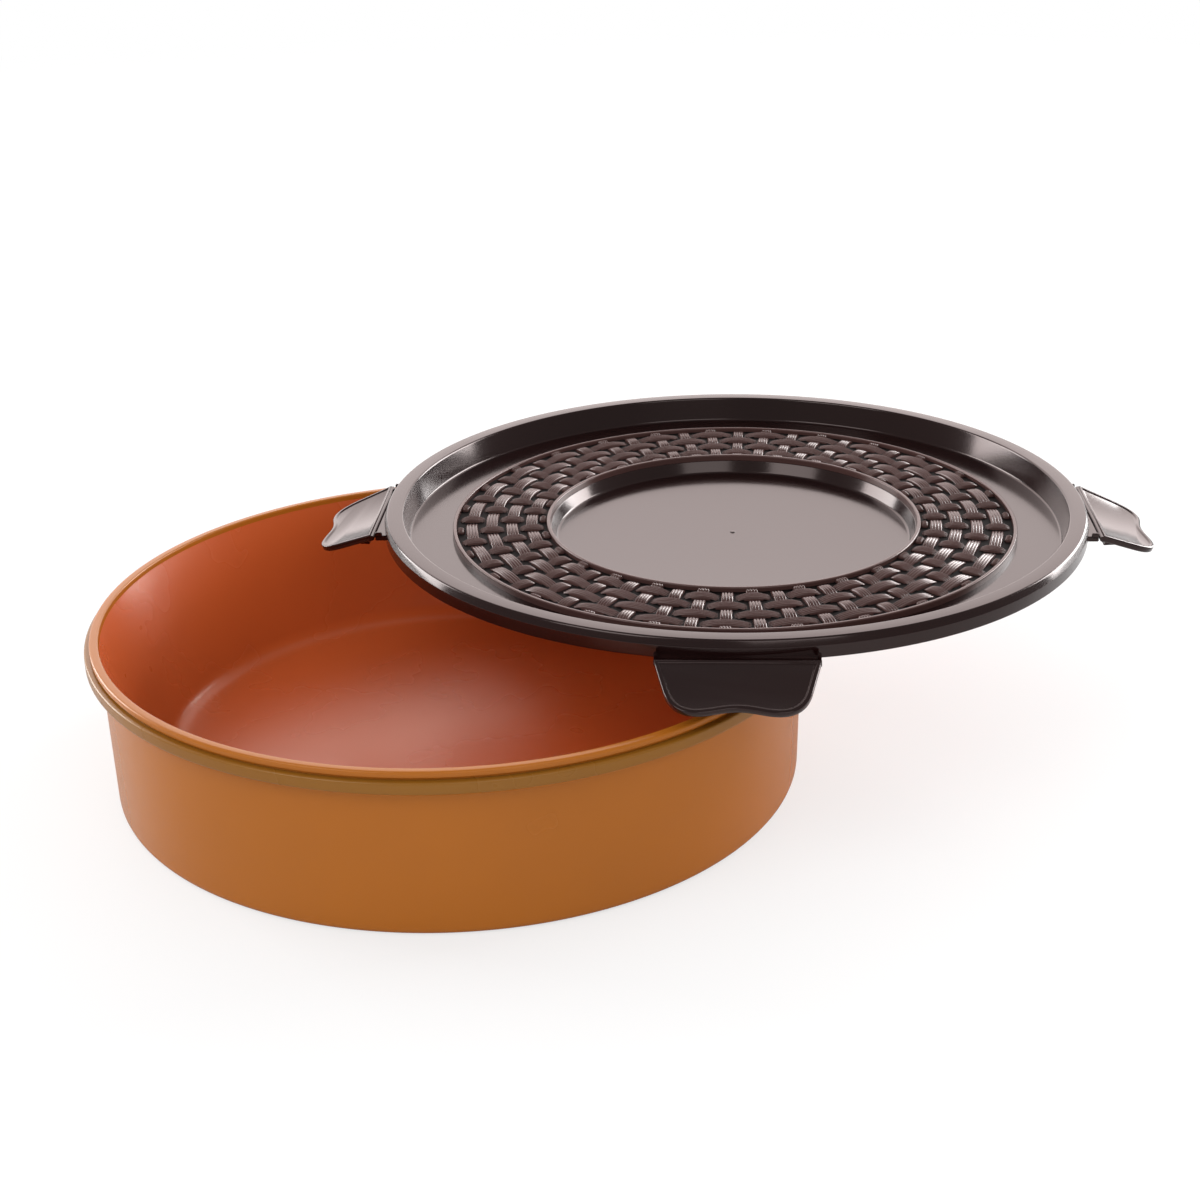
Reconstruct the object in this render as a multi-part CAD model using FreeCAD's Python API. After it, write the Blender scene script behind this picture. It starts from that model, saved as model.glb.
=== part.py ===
"""Insulated round casserole for flat breads, with a lift-off lid held by four snap flaps.

Millimetres. The origin is the centre of the bowl's foot on the table, +Z is up and the viewer
stands on the -Y side. The lid is modelled where it lies when the casserole is open: taken off and
laid level across the bowl's lip, to the right and a little to the back. Lid pieces are drawn in
the lid's own frame (Z = 0 at the top of its rim) and moved to that place at the end.
"""
import FreeCAD
import Part
import os
from math import atan, cos, degrees, radians, sin, tan

# Bowl: the foot's radius and the height of the lip drive the rest
foot_r = 124.1
bowl_h = 60.3
wall_draft = 0.8
neck_out = 2.5
collar_t = 2.6
collar_h = 4.2
collar_below_lip = 0.8
collar_chamfer = 0.6
flare_h = 2.8
lip_out = 0.7
lip_w = 3.5
lip_h = 2.0
lip_round = 1.0
lip_edge = 0.4
floor_in = 19.1
floor_z = 9.0
inner_round = 9.0
foot_round = 3.0

# Walls of the bowl's pieces
shell_wall = 1.8
neck_wall = 1.5
liner_wall = 1.3
base_wall = 2.0
base_ledge = 4.0
foam_gap = 0.3
foam_top_drop = 4.5

# Fill plugs, one in the base cover and one in the lid's liner
plug_r = 7.0
plug_fit = 0.1
plug_flange = 2.0
plug_flange_t = 1.2

# Lid: widths from the skirt inwards, depths below the top of the rim
skirt_out = 1.0
skirt_depth = 7.0
skirt_wall = 1.8
rim_in = 1.0
rim_w = 6.0
rim_edge = 0.6
rim_land = 1.8
rim_step = 0.8
lid_wall = 1.0
channel_lean = 2.2
channel_depth = 9.5
channel_w = 16.0
weave_w = 36.8
weave_lap = 0.4
recess_lean = 2.0
recess_depth = 14.1
gate_mark_r = 1.2
gate_mark_h = 0.3
lid_liner_in = 2.3
lid_liner_taper = 20.5
lid_liner_depth = 20.8

# Basket weave inlay
weave_rows = 4
weave_pairs = 27
weave_rise = 2.3
weave_plate_t = 0.6
bead_w = 1.5
strand_w = 4.2
band_w = 5.8
strand_gap = 0.35
arch_top_gap = 0.15
arch_crown = 0.5

# Snap flaps, four alike round the lid
flap_count = 4
flap_turn = -8.0
flap_half = 26.6
flap_reach = 22.6
flap_t = 1.8
flap_droop = 21.0
flap_side_reach = 13.0
flap_side_in = 3.2
flap_lobe = 13.0
flap_dip = 1.9
lobe_along = 0.72
lobe_across = 0.26
dip_along = 0.45
dip_across = 0.42
flap_border_w = 1.7
flap_border_h = 0.5
hinge_out = 2.5
hinge_depth = 6.4
hinge_barrel_r = 1.0
hinge_gap = 0.3
root_t = 2.0
hook_start = 5.0
hook_depth = 4.2
hook_ramp = 10.5
hook_half = 16.0
hook_sink = 0.45

# Where the lid lies on the bowl
lid_x = 107.0
lid_y = 38.0
rest_gap = 0.3

# Worked out from the sizes above
wall_top_r = foot_r + wall_draft
neck_r = wall_top_r + neck_out
collar_r = neck_r + collar_t
lip_r = neck_r + lip_out
mouth_r = lip_r - lip_w
floor_r = foot_r - floor_in
lip_under_z = bowl_h - lip_h
collar_high_z = lip_under_z - collar_below_lip
collar_low_z = collar_high_z - collar_h
flare_z = collar_low_z - flare_h
skirt_r = collar_r + skirt_out
rim_r = skirt_r - rim_in
rim_inner_r = rim_r - rim_w
channel_r = rim_inner_r - channel_lean
weave_outer_r = channel_r - channel_w
weave_inner_r = weave_outer_r - weave_w
recess_top_r = weave_inner_r - weave_lap
recess_floor_r = recess_top_r - recess_lean
lid_liner_r = channel_r - lid_liner_in
hinge_r = skirt_r + hinge_out
lid_z = bowl_h + rest_gap + lid_liner_depth
flap_names = ["flap_right", "flap_back", "flap_left", "flap_front"]


def at(r, z):
    return FreeCAD.Vector(r, 0, z)


def turned(points):
    """Solid of revolution about Z from a closed outline of (r, z) points."""
    wire = Part.makePolygon([at(r, z) for r, z in points + points[:1]])
    return Part.Face(wire).revolve(FreeCAD.Vector(), FreeCAD.Vector(0, 0, 1), 360)


def rounding(r, z, radius, first, last, steps):
    """Points on an arc about (r, z), from one angle to another, in degrees up from outwards."""
    turns = [radians(first + (last - first) * k / steps) for k in range(steps + 1)]
    return [(r + radius * cos(t), z + radius * sin(t)) for t in turns]


def prism(points, along):
    """Straight solid from a closed outline of points."""
    wire = Part.makePolygon([FreeCAD.Vector(*p) for p in points + points[:1]])
    return Part.Face(wire).extrude(FreeCAD.Vector(*along))


def wall_r(z):
    """Outer radius of the bowl's wall, which draws in a little towards the foot."""
    return foot_r + wall_draft * z / flare_z


def cavity_lean():
    """How far the cavity's wall leans from upright, in degrees."""
    return degrees(atan((mouth_r - floor_r) / (lip_under_z - floor_z)))


def cavity_r(z):
    """Inner radius of the bowl's cavity."""
    return floor_r + (z - floor_z) * tan(radians(cavity_lean()))


def liner_out():
    """How far the inner bowl's outer side stands off its inner side, measured level."""
    return liner_wall / cos(radians(cavity_lean()))


def cavity_corner(offset):
    """The cavity's round corner, from floor to wall, moved outwards by offset."""
    z = floor_z + inner_round
    r = cavity_r(z) - inner_round / cos(radians(cavity_lean()))
    return rounding(r, z, inner_round + offset, -90, -cavity_lean(), 3)


def base_ledge_r():
    """Radius of the opening under the bowl, inside the ledge that the base cover sits on."""
    return wall_r(base_wall) - shell_wall - base_ledge


def outer_shell():
    ledge_r = base_ledge_r()
    cover_r = wall_r(2 * base_wall) - shell_wall
    foot = rounding(foot_r - foot_round, foot_round, foot_round, -90, 0, 3)
    return turned([(ledge_r, 0)] + foot + [
        (wall_top_r, flare_z), (neck_r, collar_low_z), (neck_r, lip_under_z),
        (neck_r - neck_wall, lip_under_z), (neck_r - neck_wall, collar_low_z),
        (wall_top_r - shell_wall, flare_z), (cover_r, 2 * base_wall), (cover_r, base_wall),
        (ledge_r, base_wall)])


def rim_collar():
    edge_r = collar_r - collar_chamfer
    return turned([
        (neck_r, collar_low_z), (edge_r, collar_low_z), (collar_r, collar_low_z + collar_chamfer),
        (collar_r, collar_high_z - collar_chamfer), (edge_r, collar_high_z),
        (neck_r, collar_high_z)])


def inner_bowl():
    lip = rounding(lip_r - lip_round, bowl_h - lip_round, lip_round, 0, 90, 2)
    inside = cavity_corner(0)
    inside.reverse()
    return turned([(0, floor_z - liner_wall)] + cavity_corner(liner_wall) + [
        (mouth_r + liner_out(), lip_under_z), (lip_r, lip_under_z)] + lip + [
        (mouth_r + lip_edge, bowl_h), (mouth_r, lip_under_z)] + inside + [(0, floor_z)])


def bowl_foam():
    cover_top = 2 * base_wall + foam_gap
    cover_low = base_wall + foam_gap
    cover_step_r = base_ledge_r() - foam_gap - base_wall - foam_gap
    high = flare_z - foam_top_drop
    pocket_r = plug_r + plug_flange + foam_gap
    pocket_z = cover_low + plug_flange_t
    corner = cavity_corner(liner_wall + foam_gap)
    corner.reverse()
    return turned([
        (pocket_r, cover_low), (cover_step_r, cover_low), (cover_step_r, cover_top),
        (wall_r(cover_top) - shell_wall - foam_gap, cover_top),
        (wall_r(high) - shell_wall - foam_gap, high),
        (cavity_r(high) + liner_out() + foam_gap, high)] + corner + [
        (0, corner[-1][1]), (0, pocket_z), (pocket_r, pocket_z)])


def base_cover():
    ledge_r = base_ledge_r() - foam_gap
    cover_r = wall_r(2 * base_wall) - shell_wall - foam_gap
    return turned([
        (plug_r, 0), (ledge_r, 0), (ledge_r, base_wall), (cover_r, base_wall),
        (cover_r, 2 * base_wall), (ledge_r - base_wall, 2 * base_wall),
        (ledge_r - base_wall, base_wall), (plug_r, base_wall)])


def plug(face_z, thickness):
    """Push-in plug whose face is at face_z, with a flange above its wall."""
    far = face_z + thickness
    end = far + plug_flange_t
    return turned([
        (0, face_z), (plug_r - plug_fit, face_z), (plug_r - plug_fit, far),
        (plug_r + plug_flange, far), (plug_r + plug_flange, end), (0, end)])


def wall_inner_r(depth):
    """Radius of the lid's inner wall, which leans in from the rim to the channel floor."""
    return rim_inner_r - channel_lean * (depth - rim_edge) / (channel_depth - rim_edge)


def hinge_root(turn):
    """Tab that carries a flap: from the skirt out to a straight edge just clear of the barrel."""
    edge = hinge_r - hinge_barrel_r - hinge_gap
    low = -hinge_depth - root_t / 2
    tab = Part.makeBox(edge, 2 * flap_half, root_t, FreeCAD.Vector(0, -flap_half, low))
    tab = tab.cut(Part.makeCylinder(skirt_r - skirt_wall / 2, 2 * root_t, at(0, low - root_t / 2)))
    tab.rotate(FreeCAD.Vector(), FreeCAD.Vector(0, 0, 1), turn)
    return tab


def lid_shell():
    under = channel_depth + lid_wall
    step = rim_land + rim_step
    body = turned([
        (0, -recess_depth), (recess_floor_r, -recess_depth),
        (recess_top_r, -channel_depth), (channel_r, -channel_depth),
        (rim_inner_r, -rim_edge), (rim_inner_r + rim_edge, 0),
        (rim_r - rim_edge, 0), (rim_r, -rim_edge),
        (skirt_r, -step), (skirt_r, -skirt_depth),
        (skirt_r - skirt_wall, -skirt_depth), (skirt_r - skirt_wall, -step),
        (rim_r - skirt_wall, -rim_land), (wall_inner_r(rim_land) + lid_wall, -rim_land),
        (channel_r + lid_wall, -under), (recess_top_r + lid_wall, -under),
        (recess_floor_r + lid_wall, -recess_depth - lid_wall), (0, -recess_depth - lid_wall)])
    gate = Part.makeCone(gate_mark_r, gate_mark_r / 2, gate_mark_h, at(0, -recess_depth))
    roots = [hinge_root(flap_angle(k)) for k in range(flap_count)]
    return body.fuse([gate] + roots).removeSplitter()


def dish_r(depth, offset):
    """Radius of the sloping side of the lid's liner at a depth, moved inwards by offset."""
    top = channel_depth + lid_wall
    lean = atan((lid_liner_depth - top) / lid_liner_taper)
    return lid_liner_r - (depth - top) / tan(lean) - offset / sin(lean)


def lid_liner():
    top = channel_depth + lid_wall
    inside = lid_liner_depth - liner_wall
    return turned([
        (plug_r, -lid_liner_depth), (dish_r(lid_liner_depth, 0), -lid_liner_depth),
        (lid_liner_r, -top), (dish_r(top, liner_wall), -top),
        (dish_r(inside, liner_wall), -inside), (plug_r, -inside)])


def lid_foam():
    top = channel_depth + lid_wall + foam_gap
    recess_low = recess_depth + lid_wall + foam_gap
    bottom = lid_liner_depth - liner_wall - foam_gap
    wall = liner_wall + foam_gap
    step_r = recess_top_r + lid_wall + foam_gap
    pocket_r = plug_r + plug_flange + foam_gap
    pocket = bottom - plug_flange_t
    return turned([
        (0, -recess_low), (recess_floor_r + lid_wall + foam_gap, -recess_low), (step_r, -top),
        (dish_r(top, wall), -top), (dish_r(bottom, wall), -bottom),
        (pocket_r, -bottom), (pocket_r, -pocket), (0, -pocket)])


def arch(length, width, low, high):
    """One strand where it passes over: a bridge along X whose feet stand at height low."""
    half = length / 2
    crown = half * arch_crown
    profile = [(-half, low), (-crown, high), (crown, high), (half, low)]
    return prism([(x, -width / 2, z) for x, z in profile], (0, width, 0))


def placed(solid, r, around, turn):
    """Turns a strand about its middle, then sets it at radius r and angle around the ring."""
    solid.rotate(FreeCAD.Vector(), FreeCAD.Vector(0, 0, 1), turn)
    solid.translate(FreeCAD.Vector(r, 0, 0))
    solid.rotate(FreeCAD.Vector(), FreeCAD.Vector(0, 0, 1), around)
    return solid


def weave_ring():
    """Annular inlay in plain weave: radial strands and round bands pass over by turns."""
    low = -channel_depth
    top = low + weave_rise
    plate = low + weave_plate_t
    inner = weave_inner_r + bead_w
    outer = weave_outer_r - bead_w
    ring = turned([
        (weave_inner_r, low), (weave_outer_r, low), (weave_outer_r, top), (outer, top),
        (outer, plate), (inner, plate), (inner, top), (weave_inner_r, top)])
    pitch = (outer - inner) / (weave_rows + 0.5)
    half_pitch = pitch / 2
    strands = 2 * weave_pairs
    step = 360.0 / strands
    bumps = []
    for row in range(-1, weave_rows + 1):
        middle = inner + half_pitch / 2 + half_pitch + row * pitch
        for strand in range(strands):
            over = (row + strand) % 2 == 0
            if over and 0 <= row < weave_rows:
                span = 2 * middle * tan(radians(step)) - strand_w - 2 * strand_gap
                band = arch(span, band_w, low, top - arch_top_gap)
                bumps.append(placed(band, middle, strand * step, 90))
            elif not over:
                start = max(middle - pitch + band_w / 2 + strand_gap, inner - strand_gap)
                end = min(middle + pitch - band_w / 2 - strand_gap, outer + strand_gap)
                if end - start > strand_gap:
                    rib = arch(end - start, strand_w, low, top - arch_top_gap)
                    bumps.append(placed(rib, (start + end) / 2, strand * step, 0))
    return ring.fuse(bumps)


def flap_angle(k):
    return flap_turn + k * 360.0 / flap_count


def flap_outline(inset):
    """Flap seen from above, hinge line on Y: straight sides, two round lobes and a shallow dip."""
    def p(x, y):
        return FreeCAD.Vector(x, y, 0)
    start = hinge_barrel_r + inset if inset else 0
    side_y = flap_half - flap_side_in - inset
    hinge_y = flap_half - inset
    tip = flap_reach - inset
    dip = tip - flap_dip
    bend_x = flap_side_reach + (tip - flap_side_reach) * lobe_along
    bend_y = side_y - (side_y - flap_lobe) * lobe_across
    edges = []
    for side in (1, -1):
        shoulder = p(flap_side_reach, side * side_y)
        lobe = p(tip, side * flap_lobe)
        waist = p(dip + flap_dip * dip_along, side * flap_lobe * dip_across)
        edges.append(Part.LineSegment(p(start, side * hinge_y), shoulder).toShape())
        edges.append(Part.Arc(shoulder, p(bend_x, side * bend_y), lobe).toShape())
        edges.append(Part.Arc(lobe, waist, p(dip, 0)).toShape())
    edges.append(Part.LineSegment(p(start, hinge_y), p(start, -hinge_y)).toShape())
    return Part.Face(Part.Wire(Part.__sortEdges__(edges)))


def snap_flap(turn):
    """One flap: plate with a raised border, the hinge barrel, and the hook on its underside."""
    up = FreeCAD.Vector(0, 0, 1)
    plate = flap_outline(0).extrude(up * (flap_t + flap_border_h))
    panel = flap_outline(flap_border_w).extrude(up * (2 * flap_border_h))
    panel.translate(up * flap_t)
    plate = plate.cut(panel)
    plate.translate(up * (-flap_t / 2))
    barrel = Part.makeCylinder(
        hinge_barrel_r, 2 * flap_half, FreeCAD.Vector(0, -flap_half, 0), FreeCAD.Vector(0, 1, 0))
    hook_top = hook_sink - flap_t / 2
    hook = prism(
        [(hook_start, -hook_half, hook_top), (hook_start, -hook_half, -flap_t / 2 - hook_depth),
         (hook_start + hook_ramp, -hook_half, hook_top)], (0, 2 * hook_half, 0))
    flap = plate.fuse([barrel, hook]).removeSplitter()
    flap.rotate(FreeCAD.Vector(), FreeCAD.Vector(0, 1, 0), flap_droop)
    flap.translate(at(hinge_r, -hinge_depth))
    flap.rotate(FreeCAD.Vector(), up, turn)
    return flap


def build():
    pieces = {
        "outer_shell": outer_shell(),
        "rim_collar": rim_collar(),
        "inner_bowl": inner_bowl(),
        "bowl_foam": bowl_foam(),
        "base_cover": base_cover(),
        "base_plug": plug(0, base_wall),
    }
    lid = {
        "lid_shell": lid_shell(),
        "weave_ring": weave_ring(),
        "lid_liner": lid_liner(),
        "lid_foam": lid_foam(),
        "lid_plug": plug(-lid_liner_depth, liner_wall),
    }
    for k, name in enumerate(flap_names):
        lid[name] = snap_flap(flap_angle(k))
    for name, solid in lid.items():
        solid.translate(FreeCAD.Vector(lid_x, lid_y, lid_z))
        pieces[name] = solid
    return pieces


os.makedirs("parts", exist_ok=True)
for name, solid in build().items():
    print(name, solid.ShapeType, "solids", len(solid.Solids), "valid", solid.isValid(),
          "volume", round(solid.Volume / 1000, 2), "faces", len(solid.Faces))
    solid.exportStep(os.path.join("parts", name + ".step"))
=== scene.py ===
"""Looks of the insulated casserole: every visible skin, its materials, the light and the camera."""
import math

import bmesh
import bpy
from mathutils import Matrix, Vector

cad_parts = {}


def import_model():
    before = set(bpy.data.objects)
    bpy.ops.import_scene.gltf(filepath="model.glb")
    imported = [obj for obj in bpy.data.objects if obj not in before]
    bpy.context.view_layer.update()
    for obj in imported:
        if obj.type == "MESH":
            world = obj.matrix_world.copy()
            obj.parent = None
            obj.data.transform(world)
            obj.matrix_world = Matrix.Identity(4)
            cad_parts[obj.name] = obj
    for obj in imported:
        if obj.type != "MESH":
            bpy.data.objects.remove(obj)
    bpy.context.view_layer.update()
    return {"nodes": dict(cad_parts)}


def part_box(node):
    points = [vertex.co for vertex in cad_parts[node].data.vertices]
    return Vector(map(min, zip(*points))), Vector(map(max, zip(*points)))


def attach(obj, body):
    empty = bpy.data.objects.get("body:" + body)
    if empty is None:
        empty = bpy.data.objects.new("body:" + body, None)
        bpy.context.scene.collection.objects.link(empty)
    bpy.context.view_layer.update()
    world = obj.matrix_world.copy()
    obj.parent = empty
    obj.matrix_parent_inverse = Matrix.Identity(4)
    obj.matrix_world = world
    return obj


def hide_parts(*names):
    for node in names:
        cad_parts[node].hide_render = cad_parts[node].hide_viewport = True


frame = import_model()
MM = 0.001

# Fineness of the meshes: steps of a turn and of a corner's arc, the share of a side that an arc
# may take, the distance in metres at which points merge, what counts as on the axis, in mm, and
# the angles in degrees past which an edge is drawn sharp, on round pieces and on fine ones
TURN_STEPS = 256
ARC_STEPS = 6
ARC_SHARE = 0.49
MERGE_DISTANCE = 1e-7
ON_AXIS = 1e-6
SHARP = 38.0
SHARP_FINE = 50.0

# Camera, worked out from the photograph's 1200 pixel frame: metres and radians, sensor in mm
PHOTO_SIDE = 1200
FOCAL_PX = 1965.73
SENSOR = 36.0
CAMERA_PLACE = (0.0, -0.65156, 0.34013)
CAMERA_YAW = 0.08099
CAMERA_PITCH = 0.40689
CAMERA_ROLL = -0.02013


def mid(node):
    low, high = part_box(node)
    return (Vector(low) + Vector(high)) / 2


def low_z(node):
    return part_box(node)[0][2]


def high_z(node):
    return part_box(node)[1][2]


def outer_radius(node):
    low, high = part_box(node)
    return (high[1] - low[1]) / 2


LID = mid("weave_ring")
LID_Z = high_z("lid_shell")
LID_CENTRE = Vector((LID.x, LID.y, LID_Z))


def srgb(red, green, blue):
    def linear(c):
        c /= 255
        return c / 12.92 if c <= 0.04045 else ((c + 0.055) / 1.055) ** 2.4
    return linear(red), linear(green), linear(blue), 1.0


# Meshes

def bend(start, corner, end, t):
    """Point at t, from 0 to 1, of the curve from start to end that is pulled towards corner."""
    return start * (1 - t) ** 2 + corner * 2 * t * (1 - t) + end * t ** 2


def rounded(corners):
    """Closed outline of (r, z, radius) corners, in mm, with each corner's arc filled in."""
    out = []
    count = len(corners)
    for i, (r, z, radius) in enumerate(corners):
        here = Vector((r, z))
        if radius <= 0:
            out.append(here)
            continue
        before = Vector(corners[i - 1][:2]) - here
        after = Vector(corners[(i + 1) % count][:2]) - here
        angle = before.angle(after)
        most = min(before.length * ARC_SHARE, after.length * ARC_SHARE)
        reach = min(radius / math.tan(angle / 2), most)
        start = here + before.normalized() * reach
        end = here + after.normalized() * reach
        for k in range(ARC_STEPS + 1):
            out.append(bend(start, here, end, k / ARC_STEPS))
    return out


def finish_mesh(bm, name, body, material, nodes, sharp=SHARP, second=None, where=None):
    """Makes the piece from bm. Faces for which where(centre) is true get the second material."""
    bmesh.ops.remove_doubles(bm, verts=bm.verts, dist=MERGE_DISTANCE)
    bmesh.ops.recalc_face_normals(bm, faces=bm.faces)
    mesh = bpy.data.meshes.new(name)
    bm.to_mesh(mesh)
    bm.free()
    mesh.shade_smooth()
    mesh.set_sharp_from_angle(angle=math.radians(sharp))
    piece = bpy.data.objects.new(name, mesh)
    bpy.context.scene.collection.objects.link(piece)
    mesh.materials.append(material)
    if second:
        mesh.materials.append(second)
        for face in mesh.polygons:
            face.material_index = int(where(face.center))
    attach(piece, body)
    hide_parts(*nodes)


def spin(bm, corners, centre=Vector((0, 0, 0))):
    """Adds the solid of revolution of an outline to bm. Heights are from centre's height."""
    outline = rounded(corners)
    rings = []
    for step in range(TURN_STEPS):
        angle = 2 * math.pi * step / TURN_STEPS
        ring = []
        for r, z in outline:
            place = Vector((r * math.cos(angle), r * math.sin(angle), z)) * MM
            ring.append(bm.verts.new(centre + place))
        rings.append(ring)
    for step in range(TURN_STEPS):
        ring, after = rings[step], rings[(step + 1) % TURN_STEPS]
        for k in range(len(outline)):
            m = (k + 1) % len(outline)
            if outline[k][0] < ON_AXIS and outline[m][0] < ON_AXIS:
                continue
            bm.faces.new((ring[k], after[k], after[m], ring[m]))
    bmesh.ops.remove_doubles(bm, verts=bm.verts, dist=MERGE_DISTANCE)
    return bm


# Materials: a slow cloud between two tones, and a fine grain whose depth is in metres
CLOUD_SCALE = 22.0
CLOUD_DETAIL = 3.0
CLOUD_ROUGHNESS = 0.55
GRAIN_SCALE = 900.0
GRAIN_DETAIL = 2.0
GRAIN_DEPTH = 0.0004


def node(tree, kind, **inputs):
    made = tree.nodes.new(kind)
    for key, value in inputs.items():
        made.inputs[key.replace("_", " ")].default_value = value
    return made


def plastic(name, tones, rough, grain=GRAIN_SCALE, bump=0.02, level=0.5, tint=(1, 1, 1)):
    """Moulded plastic: two close tones, uneven polish and a faint moulded grain."""
    material = bpy.data.materials.new(name)
    material.use_nodes = True
    tree = material.node_tree
    shader = tree.nodes["Principled BSDF"]
    shader.inputs["Specular IOR Level"].default_value = level
    shader.inputs["Specular Tint"].default_value = (*tint, 1)
    place = tree.nodes.new("ShaderNodeTexCoord")
    cloud = node(tree, "ShaderNodeTexNoise", Scale=CLOUD_SCALE, Detail=CLOUD_DETAIL,
                 Roughness=CLOUD_ROUGHNESS)
    fine = node(tree, "ShaderNodeTexNoise", Scale=grain, Detail=GRAIN_DETAIL)
    tone = tree.nodes.new("ShaderNodeMix")
    tone.data_type = "RGBA"
    tone.inputs["A"].default_value = tones[0]
    tone.inputs["B"].default_value = tones[1]
    polish = node(tree, "ShaderNodeMapRange", To_Min=rough[0], To_Max=rough[1])
    relief = node(tree, "ShaderNodeBump", Strength=bump, Distance=GRAIN_DEPTH)
    link = tree.links.new
    link(place.outputs["Object"], cloud.inputs["Vector"])
    link(place.outputs["Object"], fine.inputs["Vector"])
    link(cloud.outputs["Fac"], tone.inputs["Factor"])
    link(cloud.outputs["Fac"], polish.inputs["Value"])
    link(fine.outputs["Fac"], relief.inputs["Height"])
    link(tone.outputs["Result"], shader.inputs["Base Color"])
    link(polish.outputs["Result"], shader.inputs["Roughness"])
    link(relief.outputs["Normal"], shader.inputs["Normal"])
    return material


COPPER = plastic("copper_brown", (srgb(168, 97, 26), srgb(161, 92, 26)), rough=(0.20, 0.30),
                 level=0.4, tint=(1, 0.86, 0.7))
GOLD = plastic("olive_gold", (srgb(136, 88, 24), srgb(128, 82, 24)), rough=(0.22, 0.32),
               level=0.45, tint=(1, 0.9, 0.75))
# Painted shade: the copper plastic made redder inside, as it looks in its own shade and in the light
# it throws on itself
COPPER_SHADE_TONE = plastic("copper_painted_shade", (srgb(192, 88, 40), srgb(184, 82, 38)), rough=(0.22, 0.32),
                tint=(1, 0.88, 0.78))
BROWN = plastic("dark_brown", (srgb(27, 11, 10), srgb(22, 8, 8)), rough=(0.12, 0.18),
                level=0.6, tint=(1, 0.83, 0.8))
WEAVE = plastic("weave_brown", (srgb(76, 52, 49), srgb(66, 45, 42)), rough=(0.20, 0.28),
                bump=0.05, tint=(1, 0.85, 0.82))
# Painted shade: a near-black matte for the plate under the weave, put where its gaps only lie in
# shade
WEAVE_GAP_SHADE = plastic("weave_gap_painted_shade", (srgb(12, 6, 6), srgb(8, 4, 4)), rough=(0.6, 0.7), level=0.1)
FOAM = plastic("foam", (srgb(226, 214, 170), srgb(214, 200, 154)), rough=(0.85, 0.95),
               grain=300.0, bump=0.4, level=0.2)

# Bowl, radii and heights in mm, with the ends read from the solids' boxes
FOOT_R = 124.1
FOOT_ROUND = 3.0
WALL_DRAFT = 0.8
WALL_TOP_R = FOOT_R + WALL_DRAFT
WALL_ROUND = 1.0
SHELL_WALL = 1.8
BASE_WALL = 2.0
BASE_LEDGE = 4.0
LEDGE_R = FOOT_R - SHELL_WALL - BASE_LEDGE
LEDGE_EDGE = 0.3
NECK_R = outer_radius("outer_shell") / MM
NECK_WALL = 1.5
NECK_EDGE = 0.4
COLLAR_R = outer_radius("rim_collar") / MM
COLLAR_LOW = low_z("rim_collar") / MM
COLLAR_HIGH = high_z("rim_collar") / MM
COLLAR_ROUND = 0.9
FLARE_H = 2.8
FLARE_Z = COLLAR_LOW - FLARE_H
LIP_R = outer_radius("inner_bowl") / MM
LIP_TOP = high_z("inner_bowl") / MM
LIP_UNDER = high_z("outer_shell") / MM
LIP_W = 3.5
LIP_EDGE = 0.2
LIP_OUT_ROUND = 1.7
LIP_IN = 0.3
LIP_IN_ROUND = 0.8
# Height over the lip's underside up to which the inside takes the painted shade tone
SHADE_TONE_MARGIN = 0.1
MOUTH_R = LIP_R - LIP_W
MOUTH_ROUND = 0.6
FLOOR_Z = 9.0
FLOOR_IN = 19.1
FLOOR_R = FOOT_R - FLOOR_IN
FLOOR_ROUND = 9.0
LINER_WALL = 1.3


def outer_shell_skin():
    foot_in_r = FOOT_R - SHELL_WALL
    neck_in_r = NECK_R - NECK_WALL
    bm = spin(bmesh.new(), [
        (LEDGE_R, 0, LEDGE_EDGE), (FOOT_R, 0, FOOT_ROUND), (WALL_TOP_R, FLARE_Z, WALL_ROUND),
        (NECK_R, COLLAR_LOW, NECK_EDGE), (NECK_R, LIP_UNDER, 0), (neck_in_r, LIP_UNDER, 0),
        (neck_in_r, COLLAR_LOW, 0), (WALL_TOP_R - SHELL_WALL, FLARE_Z, 0),
        (foot_in_r, 2 * BASE_WALL, 0), (foot_in_r, BASE_WALL, 0), (LEDGE_R, BASE_WALL, 0)])
    finish_mesh(bm, "outer_shell_skin", "bowl", COPPER, ["outer_shell"])


def rim_collar_skin():
    bm = spin(bmesh.new(), [
        (NECK_R, COLLAR_LOW, 0), (COLLAR_R, COLLAR_LOW, COLLAR_ROUND),
        (COLLAR_R, COLLAR_HIGH, COLLAR_ROUND), (NECK_R, COLLAR_HIGH, 0)])
    finish_mesh(bm, "rim_collar_skin", "bowl", GOLD, ["rim_collar"])


def inner_bowl_skin():
    """Inner bowl, whose lip has the shell's copper colour; below it the same plastic takes the
    redder painted shade tone.
    """
    bm = spin(bmesh.new(), [
        (0, FLOOR_Z - LINER_WALL, 0), (FLOOR_R, FLOOR_Z - LINER_WALL, FLOOR_ROUND),
        (MOUTH_R + LINER_WALL, LIP_UNDER, 0), (LIP_R, LIP_UNDER, LIP_EDGE),
        (LIP_R, LIP_TOP, LIP_OUT_ROUND), (MOUTH_R + LIP_IN, LIP_TOP, LIP_IN_ROUND),
        (MOUTH_R, LIP_UNDER, MOUTH_ROUND), (FLOOR_R, FLOOR_Z, FLOOR_ROUND), (0, FLOOR_Z, 0)])
    # Faces above the lip's underside keep the copper colour; the rest take the painted shade tone
    finish_mesh(bm, "inner_bowl_skin", "bowl", COPPER_SHADE_TONE, ["inner_bowl"],
                second=COPPER, where=lambda c: c.z > (LIP_UNDER + SHADE_TONE_MARGIN) * MM)


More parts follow.
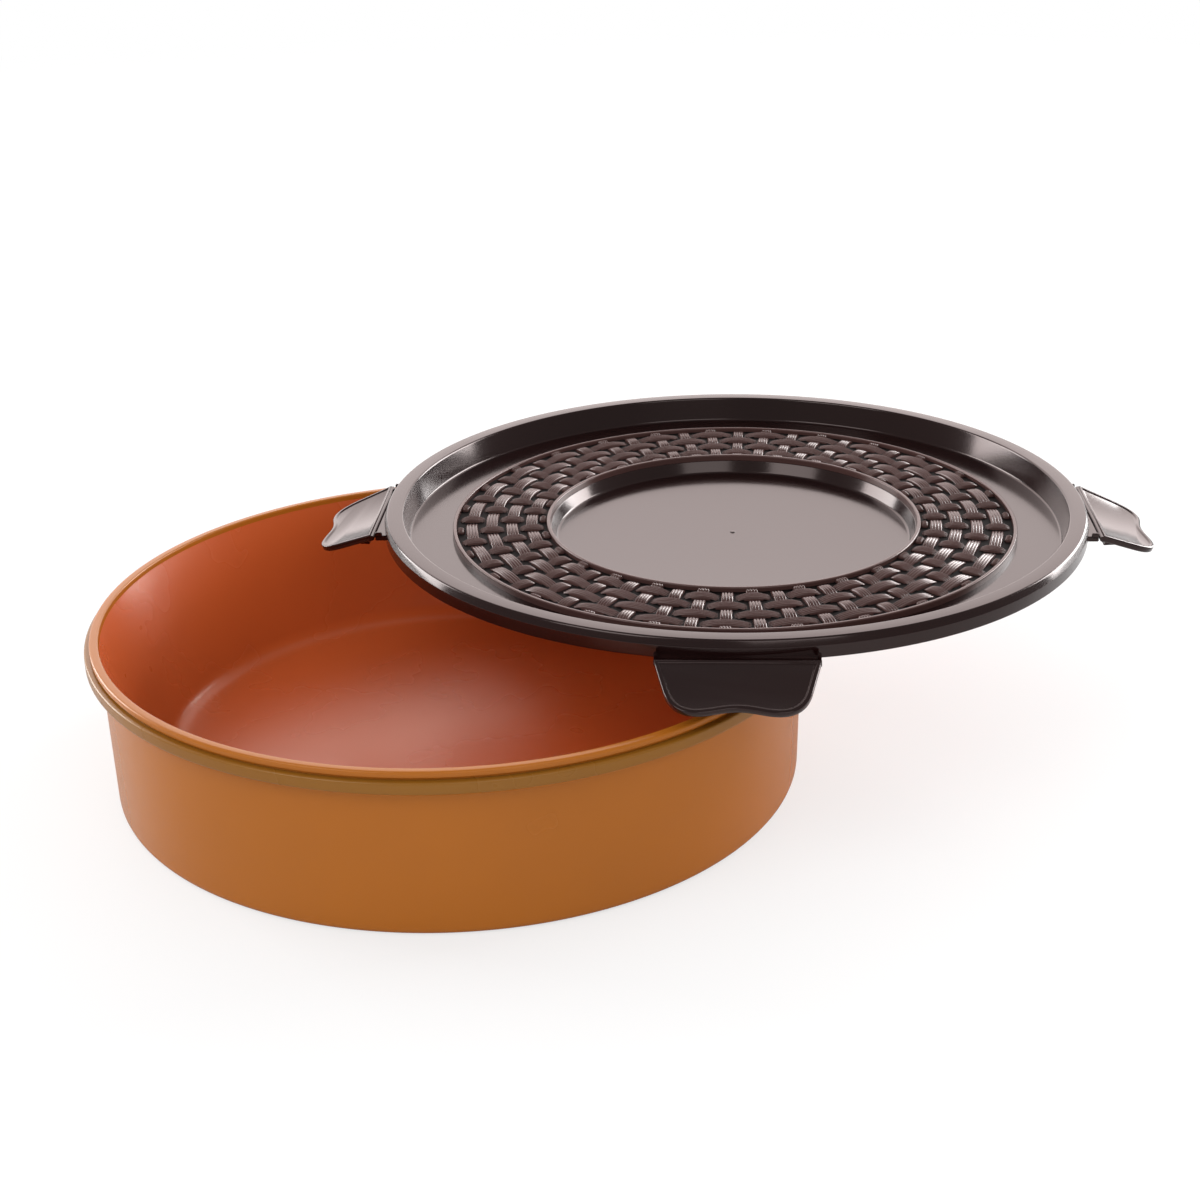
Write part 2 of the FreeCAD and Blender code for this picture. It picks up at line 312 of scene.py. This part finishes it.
# Lid, radii from its axis and depths below the top of its rim, in mm
LID_WALL = 1.0
SKIRT_R = 131.0
SKIRT_DEPTH = 7.0
SKIRT_WALL = 1.8
SKIRT_ROUND = 0.5
RIM_IN = 1.0
RIM_R = SKIRT_R - RIM_IN
RIM_ROUND = 1.0
RIM_W = 6.0
RIM_IN_R = RIM_R - RIM_W
RIM_IN_ROUND = 0.9
RIM_LAND = 1.8
RIM_STEP = 0.8
STEP_ROUND = 0.8
LAND_OUT = 0.7
CHANNEL_LEAN = 2.2
CHANNEL_R = RIM_IN_R - CHANNEL_LEAN
CHANNEL_W = 16.0
CHANNEL_DEPTH = 9.5
CHANNEL_ROUND = 1.0
WEAVE_W = 36.8
WEAVE_LAP = 0.4
WEAVE_OUT_R = CHANNEL_R - CHANNEL_W
WEAVE_IN_R = WEAVE_OUT_R - WEAVE_W
RECESS_TOP_R = WEAVE_IN_R - WEAVE_LAP
RECESS_LEAN = 2.0
RECESS_R = RECESS_TOP_R - RECESS_LEAN
RECESS_DEPTH = 14.1
RECESS_ROUND = 1.2
RECESS_EDGE = 0.3
GATE_R = 1.2
GATE_TOP_R = 0.9
GATE_H = 0.3
GATE_SINK = 0.2
GATE_ROUND = 0.2

# Roots of the hinges, with a small ear at each end, in mm
HINGE_OUT = 2.5
HINGE_R = SKIRT_R + HINGE_OUT
HINGE_DEPTH = 6.4
ROOT_IN_R = 126.6
ROOT_GAP = 1.3
ROOT_HALF_T = 1.0
EAR_W = 1.2
EAR_LENGTH = 2.5
EAR_H = 2.2
BLOCK_EDGE = 0.25
BLOCK_EDGE_STEPS = 2
FLAP_HALF = 26.6
FLAP_TURN = -8.0
FLAPS = ["flap_right", "flap_back", "flap_left", "flap_front"]

# Lid's liner, a shallow dish with a hole for the plug, in mm
LID_LINER_R = 119.5
LID_LINER_IN_R = 116.6
LID_LINER_EDGE = 0.3
LID_LINER_DEPTH = 20.8
DISH_R = 98.4
DISH_IN_R = 98.2
DISH_ROUND = 2.0
PLUG_HOLE_R = 7.0


def lid_point(r, angle, depth):
    turn = math.radians(angle)
    return Vector((LID.x + r * MM * math.cos(turn), LID.y + r * MM * math.sin(turn),
                   LID_Z - depth * MM))


def flap_angle(k):
    return FLAP_TURN + 360 / len(FLAPS) * k


def block(bm, low, high, place):
    """Box with corners low and high, in mm, moved by the matrix place."""
    made = bmesh.ops.create_cube(bm, size=1.0)["verts"]
    for v in made:
        for k in range(3):
            v.co[k] = (low[k] if v.co[k] < 0 else high[k]) * MM
    edges = list({e for v in made for e in v.link_edges})
    beveled = bmesh.ops.bevel(bm, geom=edges, offset=BLOCK_EDGE * MM, segments=BLOCK_EDGE_STEPS,
                              affect="EDGES")
    verts = {v for f in beveled["faces"] for v in f.verts}
    bmesh.ops.transform(bm, matrix=place, verts=list(verts))


def hinge_root(bm, angle):
    """Bar that carries a flap, with an ear at each end."""
    place = Matrix.Translation(LID_CENTRE) @ Matrix.Rotation(math.radians(angle), 4, "Z")
    edge = HINGE_R - ROOT_GAP
    block(bm, (ROOT_IN_R, -FLAP_HALF, -HINGE_DEPTH - ROOT_HALF_T),
          (edge, FLAP_HALF, -HINGE_DEPTH + ROOT_HALF_T), place)
    for side in (-FLAP_HALF, FLAP_HALF - EAR_W):
        block(bm, (edge - EAR_LENGTH, side, -HINGE_DEPTH),
              (edge, side + EAR_W, -HINGE_DEPTH + EAR_H), place)


def gate_mark(bm):
    """Low cone in the middle of the recess."""
    low = -RECESS_DEPTH - GATE_SINK
    high = -RECESS_DEPTH + GATE_H
    spin(bm, [(0, low, 0), (GATE_R, low, 0), (GATE_TOP_R, high, GATE_ROUND), (0, high, 0)],
         LID_CENTRE)


def lid_shell_skin():
    step = RIM_LAND + RIM_STEP
    under = CHANNEL_DEPTH + LID_WALL
    skirt_in_r = SKIRT_R - SKIRT_WALL
    bm = spin(bmesh.new(), [
        (0, -RECESS_DEPTH, 0), (RECESS_R, -RECESS_DEPTH, RECESS_ROUND),
        (RECESS_TOP_R, -CHANNEL_DEPTH, RECESS_EDGE), (CHANNEL_R, -CHANNEL_DEPTH, CHANNEL_ROUND),
        (RIM_IN_R, 0, RIM_IN_ROUND), (RIM_R, 0, RIM_ROUND), (SKIRT_R, -step, STEP_ROUND),
        (SKIRT_R, -SKIRT_DEPTH, SKIRT_ROUND), (skirt_in_r, -SKIRT_DEPTH, SKIRT_ROUND),
        (skirt_in_r, -step, 0), (RIM_R - SKIRT_WALL, -RIM_LAND, 0),
        (RIM_IN_R + LAND_OUT, -RIM_LAND, 0), (CHANNEL_R + LID_WALL, -under, 0),
        (RECESS_TOP_R + LID_WALL, -under, 0), (RECESS_R + LID_WALL, -RECESS_DEPTH - LID_WALL, 0),
        (0, -RECESS_DEPTH - LID_WALL, 0)], LID_CENTRE)
    for k in range(len(FLAPS)):
        hinge_root(bm, flap_angle(k))
    gate_mark(bm)
    finish_mesh(bm, "lid_shell_skin", "lid", BROWN, ["lid_shell"])


def lid_liner_skin():
    top = CHANNEL_DEPTH + LID_WALL
    inside = LID_LINER_DEPTH - LINER_WALL
    bm = spin(bmesh.new(), [
        (PLUG_HOLE_R, -LID_LINER_DEPTH, 0), (DISH_R, -LID_LINER_DEPTH, DISH_ROUND),
        (LID_LINER_R, -top, LID_LINER_EDGE), (LID_LINER_IN_R, -top, 0),
        (DISH_IN_R, -inside, 0), (PLUG_HOLE_R, -inside, 0)], LID_CENTRE)
    # The lid's liner takes the same painted shade tone of the copper plastic
    finish_mesh(bm, "lid_liner_skin", "lid", COPPER_SHADE_TONE, ["lid_liner"])


# Basket weave, in mm. Rows are counted in pitches from the inner bead: the first row's middle,
# and what the two ends take together. Strands and bands are arches with ribs along them.
WEAVE_RISE = 2.3
WEAVE_DEPTH = CHANNEL_DEPTH - WEAVE_RISE
WEAVE_ROWS = 4
WEAVE_PAIRS = 27
FIRST_ROW = 0.75
ROW_ENDS = 0.5
BEAD_W = 1.5
BEAD_ROUND = 0.6
STRAND_W = 4.2
STRAND_GAP = 0.35
STRAND_POWER = 2.6
STRAND_STEPS = 10
BAND_W = 4.5
BAND_POWER = 2.2
BAND_STEPS = 12
ACROSS_STEPS = 24
ARCH_END_H = 0.35
ARCH_DROP = 0.35
ARCH_TOP_H = WEAVE_RISE - ARCH_DROP
ARCH_SINK = 0.1
PLATE = 0.6
PLATE_MARGIN = 0.02
RIBS = 4
RIB_H = 0.36
EDGE_FALL = 0.25


def strip(bm, steps, across, surface):
    """Closed skin over a grid: surface(u, v) gives a point, u runs -1..1 along, v -1..1 across."""
    grid = []
    for i in range(steps + 1):
        u = 2 * i / steps - 1
        grid.append([bm.verts.new(surface(u, 2 * j / across - 1)) for j in range(across + 1)])
    for i in range(steps):
        for j in range(across):
            bm.faces.new((grid[i][j], grid[i + 1][j], grid[i + 1][j + 1], grid[i][j + 1]))
    border = [grid[i][0] for i in range(steps + 1)]
    border += [grid[steps][j] for j in range(1, across + 1)]
    border += [grid[i][across] for i in range(steps - 1, -1, -1)]
    border += [grid[0][j] for j in range(across - 1, 0, -1)]
    bottom = LID_Z - (CHANNEL_DEPTH - ARCH_SINK) * MM
    under = [bm.verts.new((v.co.x, v.co.y, bottom)) for v in border]
    count = len(border)
    for k in range(count):
        m = (k + 1) % count
        bm.faces.new((border[k], border[m], under[m], under[k]))
    bm.faces.new(under)


def arch_height(u, power):
    return ARCH_END_H + (ARCH_TOP_H - ARCH_END_H) * (1 - abs(u) ** power)


def ribs(v):
    """Height of the fine ribs along a strand, whose edges fall away."""
    wave = abs(math.sin((v + 1) / 2 * math.pi * RIBS))
    return RIB_H * wave - RIB_H / 2 - EDGE_FALL * v ** 4


def weave_band(bm, middle, angle, step):
    """The stretch of a round band that shows between two radial strands."""
    half = step - math.degrees((STRAND_W / 2 + STRAND_GAP) / middle)

    def surface(u, v):
        height = arch_height(u, BAND_POWER) + ribs(v)
        return lid_point(middle + v * BAND_W / 2, angle + u * half, CHANNEL_DEPTH - height)
    strip(bm, BAND_STEPS, ACROSS_STEPS, surface)


def weave_strand(bm, low, high, angle):
    """The stretch of a radial strand that shows between the radii low and high."""
    centre_r = (low + high) / 2
    reach = (high - low) / 2

    def surface(u, v):
        height = arch_height(u, STRAND_POWER) + ribs(v)
        r = centre_r + u * reach
        side = math.degrees(v * STRAND_W / 2 / r)
        return lid_point(r, angle + side, CHANNEL_DEPTH - height)
    strip(bm, STRAND_STEPS, ACROSS_STEPS, surface)


def weave_plate(inner, outer):
    """Plate under the strands, with a bead along each edge."""
    plate = -CHANNEL_DEPTH + PLATE
    return spin(bmesh.new(), [
        (WEAVE_IN_R, -CHANNEL_DEPTH, 0), (WEAVE_OUT_R, -CHANNEL_DEPTH, 0),
        (WEAVE_OUT_R, -WEAVE_DEPTH, BEAD_ROUND), (outer, -WEAVE_DEPTH, BEAD_ROUND),
        (outer, plate, 0), (inner, plate, 0), (inner, -WEAVE_DEPTH, BEAD_ROUND),
        (WEAVE_IN_R, -WEAVE_DEPTH, BEAD_ROUND)], LID_CENTRE)


def weave_skin():
    """Bands and strands cover each other by turns, and the plate in their gaps is painted near black
    as shade.
    """
    inner = WEAVE_IN_R + BEAD_W
    outer = WEAVE_OUT_R - BEAD_W
    pitch = (outer - inner) / (WEAVE_ROWS + ROW_ENDS)
    count = 2 * WEAVE_PAIRS
    step = 360.0 / count
    bm = weave_plate(inner, outer)
    for row in range(-1, WEAVE_ROWS + 1):
        middle = inner + (row + FIRST_ROW) * pitch
        low = max(middle - pitch + BAND_W / 2 + STRAND_GAP, inner - STRAND_GAP)
        high = min(middle + pitch - BAND_W / 2 - STRAND_GAP, outer + STRAND_GAP)
        for k in range(count):
            if (row + k) % 2 == 0:
                if 0 <= row < WEAVE_ROWS:
                    weave_band(bm, middle, k * step, step)
            elif high - low >= 2 * STRAND_GAP:
                weave_strand(bm, low, high, k * step)
    # Faces below the plate's top take the painted shade
    painted_shade_z = LID_Z - (CHANNEL_DEPTH - PLATE - PLATE_MARGIN) * MM
    finish_mesh(bm, "weave_ring_skin", "lid", WEAVE, ["weave_ring"], sharp=SHARP_FINE,
                second=WEAVE_GAP_SHADE, where=lambda c: c.z < painted_shade_z)


# Snap flaps, in mm and degrees, each drawn flat with its hinge's axis along y
FLAP_REACH = 22.6
FLAP_T = 1.8
FLAP_DROOP = 21.0
SIDE_REACH = 13.0
SIDE_IN = 3.2
SIDE_STEPS = 5
CORNER_STEPS = 12
LOBE = 13.0
DIP = 1.9
TIP_STEPS = 16
EDGE = 0.35
EDGE_MIDDLE = 0.1
BORDER_H = 0.5
BORDER_W = 1.7
BARREL_R = 1.0
BARREL_STEPS = 32
HOOK_START = 5.0
HOOK_DEPTH = 4.2
HOOK_RAMP = 10.5
HOOK_HALF = 16.0
HOOK_SINK = 0.45

# Inner slope of a flap's border: how far past its width, and how high over the plate
BORDER_SLOPE = ((-0.5, BORDER_H), (-0.2, 0.4), (0.0, 0.1), (0.3, 0.0))

# Faces of the hook, a wedge whose corners 0 to 2 are at one end and 3 to 5 at the other
HOOK_FACES = ((0, 1, 2), (3, 4, 5), (0, 1, 4, 3), (1, 2, 5, 4), (2, 0, 3, 5))


def flap_outline():
    """Half outline of a flap, from the hinge to the middle of its tip, then mirrored."""
    side_y = FLAP_HALF - SIDE_IN
    start = Vector((SIDE_REACH, side_y))
    end = Vector((FLAP_REACH, LOBE))
    pull = Vector((FLAP_REACH, side_y - (FLAP_REACH - SIDE_REACH) * SIDE_IN / SIDE_REACH))
    root = Vector((0, FLAP_HALF))
    half = [root.lerp(start, k / SIDE_STEPS) for k in range(SIDE_STEPS)]
    half += [bend(start, pull, end, k / CORNER_STEPS) for k in range(CORNER_STEPS)]
    for k in range(TIP_STEPS + 1):
        y = LOBE * (1 - k / TIP_STEPS)
        half.append(Vector((FLAP_REACH - DIP * (1 + math.cos(math.pi * y / LOBE)) / 2, y)))
    return half + [Vector((p.x, -p.y)) for p in reversed(half[:-1])]


def inset(outline, amount):
    """The outline moved inwards by an amount."""
    out = []
    count = len(outline)
    for i, point in enumerate(outline):
        along_in = (point - outline[i - 1]).normalized()
        along_out = (outline[(i + 1) % count] - point).normalized()
        across = Vector((along_in.y, -along_in.x)) + Vector((along_out.y, -along_out.x))
        out.append(point + across.normalized() * amount)
    return out


def border_steps():
    """A flap's edge from its underside over the raised border to the plate: (inset, height)."""
    top = FLAP_T / 2
    crest = top + BORDER_H
    outside = [(EDGE, -top), (0, EDGE - top), (0, crest - EDGE),
               (EDGE_MIDDLE, crest - EDGE_MIDDLE), (EDGE, crest)]
    return outside + [(BORDER_W + past, top + height) for past, height in BORDER_SLOPE]


def flap_plate(bm, outline):
    rings = []
    for amount, z in border_steps():
        rings.append([bm.verts.new(Vector((p.x, p.y, z)) * MM) for p in inset(outline, amount)])
    for low, high in zip(rings, rings[1:]):
        for i in range(len(low)):
            j = (i + 1) % len(low)
            bm.faces.new((low[i], low[j], high[j], high[i]))
    bm.faces.new(rings[0])
    bm.faces.new(rings[-1])


def flap_barrel(bm):
    barrel = bmesh.ops.create_cone(bm, cap_ends=True, segments=BARREL_STEPS,
                                   radius1=BARREL_R * MM, radius2=BARREL_R * MM,
                                   depth=2 * FLAP_HALF * MM)
    bmesh.ops.rotate(bm, verts=barrel["verts"], matrix=Matrix.Rotation(math.pi / 2, 3, "X"))


def flap_hook(bm):
    """Wedge under the flap that snaps under the collar."""
    root = HOOK_SINK - FLAP_T / 2
    tip = -FLAP_T / 2 - HOOK_DEPTH
    side = ((HOOK_START, root), (HOOK_START, tip), (HOOK_START + HOOK_RAMP, root))
    hook = [bm.verts.new(Vector((x, y, z)) * MM) for y in (-HOOK_HALF, HOOK_HALF) for x, z in side]
    for face in HOOK_FACES:
        bm.faces.new([hook[i] for i in face])


def flap_skins():
    outline = flap_outline()
    for k, name in enumerate(FLAPS):
        angle = flap_angle(k)
        place = Matrix.Translation(lid_point(HINGE_R, angle, HINGE_DEPTH))
        place = place @ Matrix.Rotation(math.radians(angle), 4, "Z")
        place = place @ Matrix.Rotation(math.radians(FLAP_DROOP), 4, "Y")
        bm = bmesh.new()
        flap_plate(bm, outline)
        flap_barrel(bm)
        flap_hook(bm)
        bmesh.ops.transform(bm, matrix=place, verts=bm.verts)
        finish_mesh(bm, name + "_skin", name, BROWN, [name], sharp=SHARP_FINE)


def carried_over():
    """Materials of the nodes that are shown as they are."""
    # The lid's plug takes the painted shade tone of the copper plastic
    looks = {"bowl_foam": FOAM, "lid_foam": FOAM, "base_cover": COPPER, "base_plug": COPPER,
             "lid_plug": COPPER_SHADE_TONE}
    for name, look in looks.items():
        solid = frame["nodes"][name]
        solid.data.materials.clear()
        solid.data.materials.append(look)


# Studio, in metres. The camera sees the floor mixed with plain white, whose share grows with the
# distance from the origin, so that no edge shows at the horizon.
FLOOR_HALF = 6.0
FLOOR_CELLS = 8
FLOOR_ROUGHNESS = 0.6
FLOOR_GREY = (0.86, 0.86, 0.86, 1)
FLOOR_GREY_IN_GLOSS = (0.5, 0.5, 0.5, 1)
FADE_START = 0.7
FADE_END = 2.0
WHITE_NEAR = 0.64
WHITE_FAR = 1.0
WHITE = (1, 1, 1, 1)
WORLD_GREY = (0.75, 0.75, 0.75, 1)
WORLD_GREY_IN_GLOSS = (0.25, 0.25, 0.25, 1)
AIM = (0, 0, 0.05)


def colour_mix(tree, first, second):
    made = tree.nodes.new("ShaderNodeMix")
    made.data_type = "RGBA"
    if first:
        made.inputs["A"].default_value = first
    made.inputs["B"].default_value = second
    return made


def floor_material():
    material = bpy.data.materials.new("floor_white")
    material.use_nodes = True
    tree = material.node_tree
    shader = tree.nodes["Principled BSDF"]
    shader.inputs["Roughness"].default_value = FLOOR_ROUGHNESS
    path = tree.nodes.new("ShaderNodeLightPath")
    colour = colour_mix(tree, FLOOR_GREY, FLOOR_GREY_IN_GLOSS)
    pale = node(tree, "ShaderNodeEmission", Color=WHITE, Strength=1.0)
    place = tree.nodes.new("ShaderNodeNewGeometry")
    away = tree.nodes.new("ShaderNodeVectorMath")
    away.operation = "LENGTH"
    fade = node(tree, "ShaderNodeMapRange", From_Min=FADE_START, From_Max=FADE_END,
                To_Min=WHITE_NEAR, To_Max=WHITE_FAR)
    share = tree.nodes.new("ShaderNodeMath")
    share.operation = "MULTIPLY"
    mix = tree.nodes.new("ShaderNodeMixShader")
    link = tree.links.new
    link(path.outputs["Is Glossy Ray"], colour.inputs["Factor"])
    link(colour.outputs["Result"], shader.inputs["Base Color"])
    link(place.outputs["Position"], away.inputs[0])
    link(away.outputs["Value"], fade.inputs["Value"])
    link(fade.outputs["Result"], share.inputs[1])
    link(path.outputs["Is Camera Ray"], share.inputs[0])
    link(share.outputs["Value"], mix.inputs["Fac"])
    link(shader.outputs["BSDF"], mix.inputs[1])
    link(pale.outputs["Emission"], mix.inputs[2])
    link(mix.outputs["Shader"], tree.nodes["Material Output"].inputs["Surface"])
    return material


def floor():
    bm = bmesh.new()
    bmesh.ops.create_grid(bm, x_segments=FLOOR_CELLS, y_segments=FLOOR_CELLS, size=FLOOR_HALF)
    mesh = bpy.data.meshes.new("floor")
    bm.to_mesh(mesh)
    bm.free()
    plane = bpy.data.objects.new("floor", mesh)
    bpy.context.scene.collection.objects.link(plane)
    mesh.materials.append(floor_material())


def world():
    """Soft grey light all round, dimmer in gloss, which the camera sees as white."""
    made = bpy.data.worlds.new("studio")
    bpy.context.scene.world = made
    made.use_nodes = True
    tree = made.node_tree
    back = tree.nodes["Background"]
    path = tree.nodes.new("ShaderNodeLightPath")
    seen = colour_mix(tree, None, WHITE)
    dim = colour_mix(tree, WORLD_GREY, WORLD_GREY_IN_GLOSS)
    tree.links.new(path.outputs["Is Glossy Ray"], dim.inputs["Factor"])
    tree.links.new(dim.outputs["Result"], seen.inputs["A"])
    tree.links.new(path.outputs["Is Camera Ray"], seen.inputs["Factor"])
    tree.links.new(seen.outputs["Result"], back.inputs["Color"])


def lamp(name, place, size, power, target=AIM, colour=(1, 1, 1)):
    data = bpy.data.lights.new(name, "AREA")
    data.shape = "RECTANGLE"
    data.size, data.size_y = size
    data.energy = power
    data.color = colour
    made = bpy.data.objects.new(name, data)
    made.location = place
    made.rotation_mode = "QUATERNION"
    made.rotation_quaternion = (Vector(target) - Vector(place)).to_track_quat("-Z", "Y")
    bpy.context.scene.collection.objects.link(made)
    return made


def lamps():
    """A wide panel behind that shows only in gloss, one at each side, and two soft ones in front."""
    back = lamp("back_panel", (0.1, 2.1, 0.95), (3.2, 1.9), 38, target=(0.05, 0, 0.05),
                colour=(1, 0.88, 0.86))
    back.visible_diffuse = False
    lamp("side_left", (-1.5, 1.0, 0.5), (1.0, 0.9), 26)
    lamp("side_right", (1.6, 0.9, 0.5), (1.2, 1.0), 45)
    lamp("key_left", (-1.1, -0.9, 1.3), (1.0, 1.0), 9)
    lamp("fill_front", (0.4, -1.6, 1.2), (1.0, 1.0), 5)


def camera():
    data = bpy.data.cameras.new("camera")
    data.sensor_width = SENSOR
    data.lens = SENSOR * FOCAL_PX / PHOTO_SIDE
    made = bpy.data.objects.new("camera", data)
    bpy.context.scene.collection.objects.link(made)
    forward = Vector((math.sin(CAMERA_YAW) * math.cos(CAMERA_PITCH),
                      math.cos(CAMERA_YAW) * math.cos(CAMERA_PITCH), -math.sin(CAMERA_PITCH)))
    right = Vector((math.cos(CAMERA_YAW), -math.sin(CAMERA_YAW), 0))
    up = right.cross(forward)
    x_axis = right * math.cos(CAMERA_ROLL) + up * math.sin(CAMERA_ROLL)
    y_axis = up * math.cos(CAMERA_ROLL) - right * math.sin(CAMERA_ROLL)
    turn = Matrix((x_axis, y_axis, -forward)).transposed()
    made.matrix_world = Matrix.Translation(CAMERA_PLACE) @ turn.to_4x4()
    bpy.context.scene.camera = made


camera()
outer_shell_skin()
rim_collar_skin()
inner_bowl_skin()
lid_shell_skin()
lid_liner_skin()
weave_skin()
flap_skins()
carried_over()
floor()
world()
lamps()
bpy.context.scene.view_settings.view_transform = "Standard"
